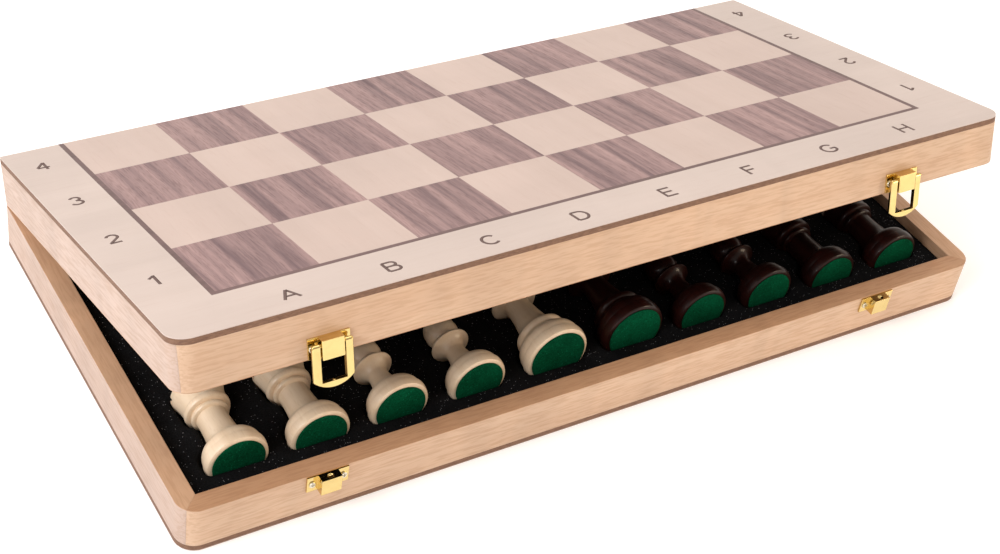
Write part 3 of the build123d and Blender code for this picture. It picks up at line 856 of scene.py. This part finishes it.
def new_piece(name: str, mesh: bpy.types.Mesh, body: Body,
              material: bpy.types.Material) -> bpy.types.Object:
    """Adds a piece made here.

    Args:
        name: Its name.
        mesh: Its mesh, in the part's frame.
        body: What it rides on.
        material: Its material.

    Returns:
        The piece.
    """
    piece = bpy.data.objects.new(name, mesh)
    bpy.context.collection.objects.link(piece)
    mesh.materials.clear()
    mesh.materials.append(material)
    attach(piece, body.value)
    log.info("made %s, %d faces, on %s", name, len(mesh.polygons), body.value)
    return piece


def apply_modifiers(piece: bpy.types.Object) -> bpy.types.Mesh:
    """Works a scratch object's modifiers into a new mesh.

    Args:
        piece: The object, which is removed.

    Returns:
        The finished mesh.
    """
    bpy.context.view_layer.update()
    evaluated = piece.evaluated_get(bpy.context.evaluated_depsgraph_get())
    mesh = bpy.data.meshes.new_from_object(evaluated)
    bpy.data.objects.remove(piece)
    return mesh


# ---------------------------------------------------------------- sub-assemblies
@dataclass
class Shell:
    """One half of the box: its panel, rails, veneers and squares.

    Attributes:
        body: The half's body, whose name its solids begin with.
    """

    body: Body

    def cover(self, finish: WoodFinish, grain: Grain, *parts: str) -> None:
        """Dresses solids of this half in one wood.

        Args:
            finish: The wood.
            grain: The way its grain runs.
            parts: The solids' names after the half's own.
        """
        wood = finish.material(grain, self.body)
        for part in parts:
            dress(f"{self.body.value}_{part}", wood)

    def build(self) -> None:
        """Dresses the half's solids."""
        dress(f"{self.body.value}_panel", Finishes.fibreboard.material(self.body))
        # Painted light: the front and back rails keep the warmer tone, and the side rails get the paler,
        # cooler copy of the same wood.
        self.cover(Finishes.rail, Grain.ALONG_LENGTH, "rail_front", "rail_back")
        # Painted light: the side rails wear the paler, cooler copy of the rail wood.
        self.cover(Finishes.end_rail, Grain.ALONG_DEPTH, "rail_left", "rail_right")
        self.cover(Finishes.border, Grain.ALONG_LENGTH, "border_veneer")
        self.cover(Finishes.maple, Grain.ALONG_DEPTH, "light_squares")
        self.cover(Finishes.walnut, Grain.ALONG_DEPTH, "dark_squares")
        self.cover(Finishes.line, Grain.ALONG_LENGTH, "field_line")


STROKE_TIP = 0.06  # how far a free end of a stroke reaches past the letter's height


def upright(across: float) -> list[Point]:
    """A stroke of full height, whose square ends reach a little past the letter's."""
    return [(across, -STROKE_TIP), (across, 1.0 + STROKE_TIP)]


def arc(centre: Point, radii: Point, start: float, stop: float, steps: int = 14) -> list[Point]:
    """Samples a part of an ellipse.

    Args:
        centre: Its centre.
        radii: Its half width and half height.
        start: Where it starts, in degrees anticlockwise from the right.
        stop: Where it stops.
        steps: How many straight runs stand for it.

    Returns:
        Its points.
    """
    angles = [math.radians(start + (stop - start) * step / steps) for step in range(steps + 1)]
    return [(centre[0] + radii[0] * math.cos(angle), centre[1] + radii[1] * math.sin(angle))
            for angle in angles]


# The strokes of each letter, which stands on 0, starts at 0 and is 1 high.
GLYPHS: dict[str, list[list[Point]]] = {
    "A": [[(0.0, 0.0), (0.44, 1.0)], [(0.44, 1.0), (0.88, 0.0)], [(0.16, 0.32), (0.72, 0.32)]],
    "B": [[(0.0, 0.0), (0.0, 1.0)],
          [(0.0, 1.0), *arc((0.42, 0.765), (0.25, 0.235), 90, -90), (0.0, 0.53)],
          [(0.42, 0.53), *arc((0.45, 0.265), (0.28, 0.265), 90, -90), (0.0, 0.0)]],
    "C": [arc((0.44, 0.5), (0.44, 0.5), 42, 318, 24)],
    "D": [[(0.0, 0.0), (0.0, 1.0)],
          [(0.0, 1.0), *arc((0.36, 0.5), (0.44, 0.5), 90, -90, 20), (0.0, 0.0)]],
    "E": [upright(0.0), [(0.0, 1.0), (0.68, 1.0)], [(0.0, 0.53), (0.62, 0.53)],
          [(0.0, 0.0), (0.7, 0.0)]],
    "F": [upright(0.0), [(0.0, 1.0), (0.66, 1.0)], [(0.0, 0.52), (0.56, 0.52)]],
    "G": [[*arc((0.45, 0.5), (0.45, 0.5), 42, 330, 24), (0.86, 0.46)], [(0.9, 0.46), (0.5, 0.46)]],
    "H": [upright(0.0), upright(0.74), [(0.0, 0.52), (0.74, 0.52)]],
    "1": [upright(0.4), [(0.4, 1.0), (0.08, 0.74)]],
    "2": [[*arc((0.33, 0.7), (0.3, 0.3), 165, -25), (0.04, 0.0)], [(0.0, 0.0), (0.66, 0.0)]],
    "3": [arc((0.31, 0.765), (0.27, 0.235), 160, -90),
          arc((0.31, 0.265), (0.32, 0.265), 90, -160)],
    "4": [[(0.5, -STROKE_TIP), (0.5, 1.0)], [(0.5, 1.0), (0.0, 0.3)], [(0.0, 0.27), (0.7, 0.27)]],
    "5": [[(0.62, 1.0), (0.14, 1.0)], [(0.14, 1.0), (0.07, 0.52)],
          arc((0.31, 0.33), (0.32, 0.33), 140, -155, 18)],
    "6": [arc((0.34, 0.31), (0.32, 0.31), 0, 360, 20),
          arc((0.42, 0.42), (0.4, 0.58), 180, 60, 12)],
    "7": [[(0.0, 1.0), (0.66, 1.0)], [(0.66, 1.0), (0.24, 0.0)]],
    "8": [arc((0.33, 0.765), (0.26, 0.235), 0, 360, 20),
          arc((0.33, 0.265), (0.32, 0.265), 0, 360, 20)],
}


@dataclass
class Lettering:
    """The plain letters and numbers printed on the border of both halves, in metres.

    Attributes:
        height: A letter's height.
        stroke: The width of its strokes.
        film: How thick the ink is.
        from_front: How far the letters' middles lie from the front edge.
        from_left: How far the left numbers' middles lie from the left edge.
        from_right: The same at the right.
        aside: How far the letters lie to the right of the squares' middles, and the numbers
            in front of them.
    """

    height: float = 0.0087
    stroke: float = 0.00150
    film: float = 0.00006
    from_front: float = 0.0141
    from_left: float = 0.0148
    from_right: float = 0.0140
    aside: float = 0.0010

    def glyph(self, text: str) -> bpy.types.Mesh:
        """Makes one letter of flat strokes, centred, standing along +Y and facing +Z.

        Args:
            text: The letter.

        Returns:
            Its mesh.
        """
        curve = bpy.data.curves.new(f"glyph_{text}", "CURVE")
        curve.dimensions = "3D"
        curve.bevel_depth = self.stroke / 2
        curve.bevel_resolution = 2
        curve.use_fill_caps = True
        across = [place[0] for stroke in GLYPHS[text] for place in stroke]
        middle = (max(across) + min(across)) / 2
        for stroke in GLYPHS[text]:
            spline = curve.splines.new("POLY")
            spline.points.add(len(stroke) - 1)
            for point, place in zip(spline.points, stroke):
                point.co = ((place[0] - middle) * self.height, (place[1] - 0.5) * self.height, 0.0, 1.0)
        scratch = bpy.data.objects.new("glyph", curve)
        bpy.context.collection.objects.link(scratch)
        mesh = apply_modifiers(scratch)
        mesh.transform(Matrix.Diagonal((1.0, 1.0, self.film / self.stroke, 1.0)))
        return mesh

    def places(self, files: str, ranks: str) -> list[tuple[str, float, float, float]]:
        """Lists the letters of one half, seen from its outside with the fold away.

        Args:
            files: The letters along the front, from the left.
            ranks: The numbers up the sides, from the front.

        Returns:
            Text, place across, place up and turn in degrees of each.
        """
        front = -BOX.depth / 2
        row = [(text, (index - (BOX.files - 1) / 2) * BOX.square + self.aside,
                front + self.from_front, 0.0)
               for index, text in enumerate(files)]
        for index, text in enumerate(ranks):
            up = front + BOX.border + (index + 0.5) * BOX.square - self.aside
            row.append((text, -BOX.width / 2 + self.from_left, up, 0.0))
            row.append((text, BOX.width / 2 - self.from_right, up, 180.0))
        return row

    def build(self) -> None:
        """Makes both halves' letters and numbers."""
        ink = Finishes.ink.material()
        turned_over = Matrix.Rotation(math.pi, 4, "Y")
        lid_top = BOX.open_lid() @ Matrix.Translation((0.0, 0.0, 2 * BOX.hinge.z))
        halves = ((Body.BASE, turned_over, "HGFEDCBA", "8765"), (Body.LID, lid_top, "ABCDEFGH", "1234"))
        for body, place, files, ranks in halves:
            joined = bmesh.new()
            for text, across, up, turn in self.places(files, ranks):
                mesh = self.glyph(text)
                spin = Matrix.Rotation(math.radians(turn), 4, "Z")
                mesh.transform(place @ Matrix.Translation((across, up, 0.0)) @ spin)
                joined.from_mesh(mesh)
            mesh = bpy.data.meshes.new(f"{body.value}_lettering")
            joined.to_mesh(mesh)
            joined.free()
            new_piece(f"{body.value}_lettering", mesh, body, ink)


@dataclass
class SoftFoam:
    """The foam tray with its nests, and the foam sheet under the lid.

    Attributes:
        tray_cell: The tray's mesh size, in metres.
        lining_cell: The sheet's mesh size, in metres.
        smoothing: How often the cut edges are smoothed.
        unevenness: How deep the skin's hollows are, in metres.
        fine_waves: The small hollows, in waves per metre.
        slow_waves: The wide hollows, in waves per metre.
        slow_share: The depth of the wide hollows as a share of the small ones' depth.
    """

    tray_cell: float = 0.0014
    lining_cell: float = 0.0028
    smoothing: int = 4
    unevenness: float = 0.00018
    fine_waves: float = 420.0
    slow_waves: float = 110.0
    slow_share: float = 0.6

    def soften(self, node: str, body: Body, cell: float) -> None:
        """Replaces a foam solid by one with soft cut edges and an uneven skin.

        Args:
            node: The solid.
            body: What it rides on.
            cell: The mesh size, in metres.
        """
        scratch = bpy.data.objects.new("foam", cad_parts[node].data.copy())
        bpy.context.collection.objects.link(scratch)
        remesh = scratch.modifiers.new("cells", "REMESH")
        remesh.mode = "VOXEL"
        remesh.voxel_size = cell
        smooth = scratch.modifiers.new("soft", "SMOOTH")
        smooth.iterations = self.smoothing
        smooth.factor = 0.5
        mesh = apply_modifiers(scratch)
        mesh.shade_smooth()
        outward = [vertex.normal.copy() for vertex in mesh.vertices]
        for vertex, normal in zip(mesh.vertices, outward):
            slow = self.slow_share * noise.noise(vertex.co * self.slow_waves)
            rough = noise.noise(vertex.co * self.fine_waves) + slow
            vertex.co -= normal * self.unevenness * (0.5 + 0.5 * rough)
        piece = new_piece(f"{node}_soft", mesh, body, Finishes.foam.material())
        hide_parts(node)

    def build(self) -> None:
        """Makes both foam parts."""
        self.soften("foam_tray", Body.BASE, self.tray_cell)
        self.soften("lid_lining", Body.LID, self.lining_cell)


@dataclass
class FeltDiscs:
    """The felt under every chess piece, as discs with a soft rim and raised fibres.

    Attributes:
        rings: How many rings of points a face has.
        spokes: How many points a ring has.
        fuzz: How high the fibres stand, in metres.
        fuzz_waves: How dense the fibres are, in waves per metre.
        rim: The height of the soft rim, as a share of the thickness.
        shoulder: The bevel at the rim's edge, as a share of the rim.
        weld: How near the plain disc's points lie that are one, in metres.
    """

    rings: int = 22
    spokes: int = 88
    fuzz: float = 0.00005
    fuzz_waves: float = 2300.0
    rim: float = 0.35
    shoulder: float = 0.3
    weld: float = 1e-6

    def islands(self, node: str) -> list[list[Vector]]:
        """Splits a node's mesh into its separate discs.

        Args:
            node: The node.

        Returns:
            The corner points of each disc.
        """
        work = bmesh.new()
        work.from_mesh(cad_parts[node].data)
        bmesh.ops.remove_doubles(work, verts=work.verts, dist=self.weld)
        seen: set[bmesh.types.BMVert] = set()
        found = []
        for start in work.verts:
            if start in seen:
                continue
            seen.add(start)
            stack, island = [start], []
            while stack:
                vertex = stack.pop()
                island.append(vertex.co.copy())
                for edge in vertex.link_edges:
                    other = edge.other_vert(vertex)
                    if other not in seen:
                        seen.add(other)
                        stack.append(other)
            found.append(island)
        work.free()
        return found

    def ring(self, work: bmesh.types.BMesh, centre: Vector, axis: int, profile: Point,
             side: float) -> list[bmesh.types.BMVert]:
        """Adds a ring of points round a disc's axis.

        Args:
            work: The mesh that takes it.
            centre: The disc's centre.
            axis: Which of X, Y and Z the disc's axis is.
            profile: How far the ring lies from the axis, and from the disc's middle plane.
            side: 1 or -1, for the face that it is on.

        Returns:
            Its points.
        """
        distance, height = profile
        first, second = (index for index in range(3) if index != axis)
        made = []
        for spoke in range(self.spokes):
            angle = 2 * math.pi * spoke / self.spokes
            point = centre.copy()
            point[first] += distance * math.cos(angle)
            point[second] += distance * math.sin(angle)
            lift = self.fuzz * noise.noise(point * self.fuzz_waves + Vector((side, 0.0, 0.0)))
            point[axis] += side * (height + lift)
            made.append(work.verts.new(point))
        return made

    def add_disc(self, work: bmesh.types.BMesh, points: Sequence[Vector]) -> None:
        """Adds one disc in the place of a plain one.

        Args:
            work: The mesh that takes it.
            points: The plain disc's corner points.
        """
        low = Vector(min(point[axis] for point in points) for axis in range(3))
        high = Vector(max(point[axis] for point in points) for axis in range(3))
        centre, size = (low + high) / 2, high - low
        axis = min(range(3), key=lambda index: size[index])
        half, radius = size[axis] / 2, max(size) / 2
        rim = size[axis] * self.rim
        bevel = rim * self.shoulder
        profiles = [(radius * (index + 1) / self.rings, half) for index in range(self.rings - 1)]
        profiles += [(radius - bevel, half - bevel), (radius, half - rim)]
        sides = (1.0, -1.0)
        faces = [[self.ring(work, centre, axis, profile, side) for profile in profiles]
                 for side in sides]
        around = [(spoke, (spoke + 1) % self.spokes) for spoke in range(self.spokes)]
        for side, face in zip(sides, faces):
            hub = centre.copy()
            hub[axis] += half * side
            middle = work.verts.new(hub)
            for spoke, after in around:
                work.faces.new((middle, face[0][spoke], face[0][after]))
                for inner, outer in zip(face, face[1:]):
                    work.faces.new((inner[spoke], outer[spoke], outer[after], inner[after]))
        upper, lower = (face[-1] for face in faces)
        for spoke, after in around:
            work.faces.new((upper[spoke], lower[spoke], lower[after], upper[after]))

    def build(self) -> None:
        """Makes the felts of both colours."""
        felt = Finishes.felt.material()
        for node in ("white_felts", "dark_felts"):
            work = bmesh.new()
            for island in self.islands(node):
                self.add_disc(work, island)
            bmesh.ops.recalc_face_normals(work, faces=work.faces)
            mesh = bpy.data.meshes.new(f"{node}_soft")
            work.to_mesh(mesh)
            work.free()
            mesh.shade_smooth()
            piece = new_piece(f"{node}_soft", mesh, Body.BASE, felt)
            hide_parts(node)


@dataclass
class ChessSet:
    """The turned pieces of both colours.

    Attributes:
        kinds: The solids of one colour, without the colour.
    """

    kinds: tuple[str, ...] = ("king", "queen", "rook_1", "rook_2", "bishop_1", "bishop_2",
                              "knight_1", "knight_2", "pawns")

    def build(self) -> None:
        """Dresses the pieces in their two woods."""
        for colour, finish in (("white", Finishes.pale_pieces), ("dark", Finishes.dark_pieces)):
            wood = finish.material(Grain.ALONG_DEPTH)
            for kind in self.kinds:
                dress(f"{colour}_{kind}", wood)


@dataclass
class Fittings:
    """Hinges and latches with their pins and screws.

    Attributes:
        gilt_parts: The gilt solids of the left and the right side, with {} for the side.
        screws: The solids of steel.
    """

    gilt_parts: tuple[str, ...] = (
        "hinge_{}_base_leaf", "hinge_{}_lid_leaf", "hinge_{}_pin", "latch_{}_keeper",
        "latch_{}_mount", "latch_{}_pin", "latch_{}_frame")
    screws: tuple[str, ...] = ("hinge_screws_base", "hinge_screws_lid", "latch_screws_base",
                               "latch_screws_lid")

    def build(self) -> None:
        """Dresses the metal parts."""
        gilt = Finishes.gilt.material()
        for part in self.gilt_parts:
            for side in ("left", "right"):
                dress(part.format(side), gilt)
        steel = Finishes.steel.material()
        for node in self.screws:
            dress(node, steel)


# ---------------------------------------------------------------- studio
@dataclass(frozen=True)
class Softbox:
    """A square light that faces the chess box.

    Attributes:
        name: Its name.
        place: Where it hangs, in metres.
        size: Its side, in metres.
        power: Its power, in watts.
        colour: Its colour.
    """

    name: str
    place: Triple
    size: float
    power: float
    colour: Colour = (1.0, 0.99, 0.98)

    def hang(self) -> None:
        """Adds the light."""
        data = bpy.data.lights.new(self.name, "AREA")
        data.size = self.size
        data.energy = self.power
        data.color = self.colour
        lamp = bpy.data.objects.new(self.name, data)
        lamp.location = self.place
        lamp.rotation_euler = (-Vector(self.place)).to_track_quat("-Z", "Y").to_euler()
        bpy.context.collection.objects.link(lamp)


@dataclass
class Studio:
    """A plain pale floor, soft light, and the camera at the photograph's place.

    Attributes:
        eye: Where the camera stands, in metres.
        aim: Its turns about X, Y and Z, in radians.
        lens: Its focal length, in millimetres.
        sensor: Its sensor's width, in millimetres.
        clip: How near it sees, in metres.
        floor_size: Half the floor's side, in metres.
        floor_drop: How far the floor lies under the box, in metres.
        floor_clouds: The scale of the floor's clouds.
        floor_greys: Its darkest and lightest grey.
        floor_glow: How brightly the floor glows by itself.
        sky: The tent's brightness.
        tent_left: The tent's colour at the left.
        tent_right: Its colour at the right.
        tent_front: Its colour at the front.
        tent_sides: Where the left colour ends and the right one is full, from -1 to 1 in X.
        tent_fade: Where the front colour is full and where it ends, from -1 to 1 in Y.
        softboxes: The lights.
    """

    eye: Triple = (-0.44869, -0.60040, 0.62622)
    aim: Triple = (0.8642999, -0.1325188, -0.5291471)
    lens: float = 64.808
    sensor: float = 36.0
    clip: float = 0.01
    floor_size: float = 4.0
    floor_drop: float = 0.0003
    floor_clouds: float = 3.0
    floor_greys: Span = (0.93, 0.95)
    floor_glow: float = 0.22
    sky: float = 0.90
    tent_left: Colour = (0.90, 0.93, 0.96)
    tent_right: Colour = (1.0, 0.90, 0.78)
    tent_front: Colour = (0.52, 0.45, 0.40)
    tent_sides: Span = (-0.8, 0.8)
    tent_fade: Span = (-0.9, -0.1)
    softboxes: tuple[Softbox, ...] = (
        Softbox("key", (-1.6, -0.35, 1.15), 1.0, 22.0),
        Softbox("warm", (1.0, -0.95, 0.30), 0.4, 4.4, (1.0, 0.80, 0.56)),
        Softbox("top", (0.2, 0.5, 2.0), 1.4, 10.0))

    def camera(self) -> None:
        """Places the camera."""
        data = bpy.data.cameras.new("camera")
        data.lens = self.lens
        data.sensor_width = self.sensor
        data.sensor_fit = "HORIZONTAL"
        data.clip_start = self.clip
        eye = bpy.data.objects.new("camera", data)
        eye.location = self.eye
        eye.rotation_euler = self.aim
        bpy.context.collection.objects.link(eye)
        bpy.context.scene.camera = eye

    def tent(self) -> None:
        """Surrounds the box with a pale light tent: cool left, warm right and a darker front."""
        world = bpy.data.worlds.new("studio")
        world.use_nodes = True
        wiring = Wiring(world.node_tree)
        across, along, _ = wiring.axes(wiring.node("ShaderNodeTexCoord").outputs["Generated"])
        sides = wiring.blend(wiring.spread(across, *self.tent_sides), self.tent_left, self.tent_right)
        front = wiring.spread(along, *self.tent_fade, to_low=1.0, to_high=0.0)
        background = world.node_tree.nodes["Background"]
        wiring.feed(wiring.blend(front, sides, self.tent_front), background.inputs["Color"])
        background.inputs["Strength"].default_value = self.sky
        bpy.context.scene.world = world

    def floor(self) -> None:
        """Lays the floor of pale paper."""
        work = bmesh.new()
        bmesh.ops.create_grid(work, x_segments=2, y_segments=2, size=self.floor_size)
        mesh = bpy.data.meshes.new("floor")
        work.to_mesh(mesh)
        work.free()
        floor = bpy.data.objects.new("floor", mesh)
        floor.location.z = -self.floor_drop
        bpy.context.collection.objects.link(floor)
        surface = Surface("floor_paper")
        clouds = surface.wiring.noise(surface.place, self.floor_clouds)
        grey = surface.wiring.blend(clouds, *((level,) * 3 for level in self.floor_greys))
        surface.paint(grey)
        surface.wiring.feed(grey, surface.shader.inputs["Emission Color"])
        mesh.materials.append(surface.settle(Roughness=0.9, Specular_IOR_Level=0.1,
                                             Emission_Strength=self.floor_glow))

    def build(self) -> None:
        """Sets up floor, light and camera."""
        self.tent()
        self.floor()
        for softbox in self.softboxes:
            softbox.hang()
        bpy.context.scene.view_settings.view_transform = "Standard"
        self.camera()


def main() -> None:
    """Dresses the whole chess box and sets up the studio."""
    logging.basicConfig(level=logging.INFO, format="%(message)s")
    for part in (Shell(Body.BASE), Shell(Body.LID), Lettering(), SoftFoam(), FeltDiscs(), ChessSet(),
                 Fittings(), Studio()):
        part.build()


if __name__ == "__main__":
    main()
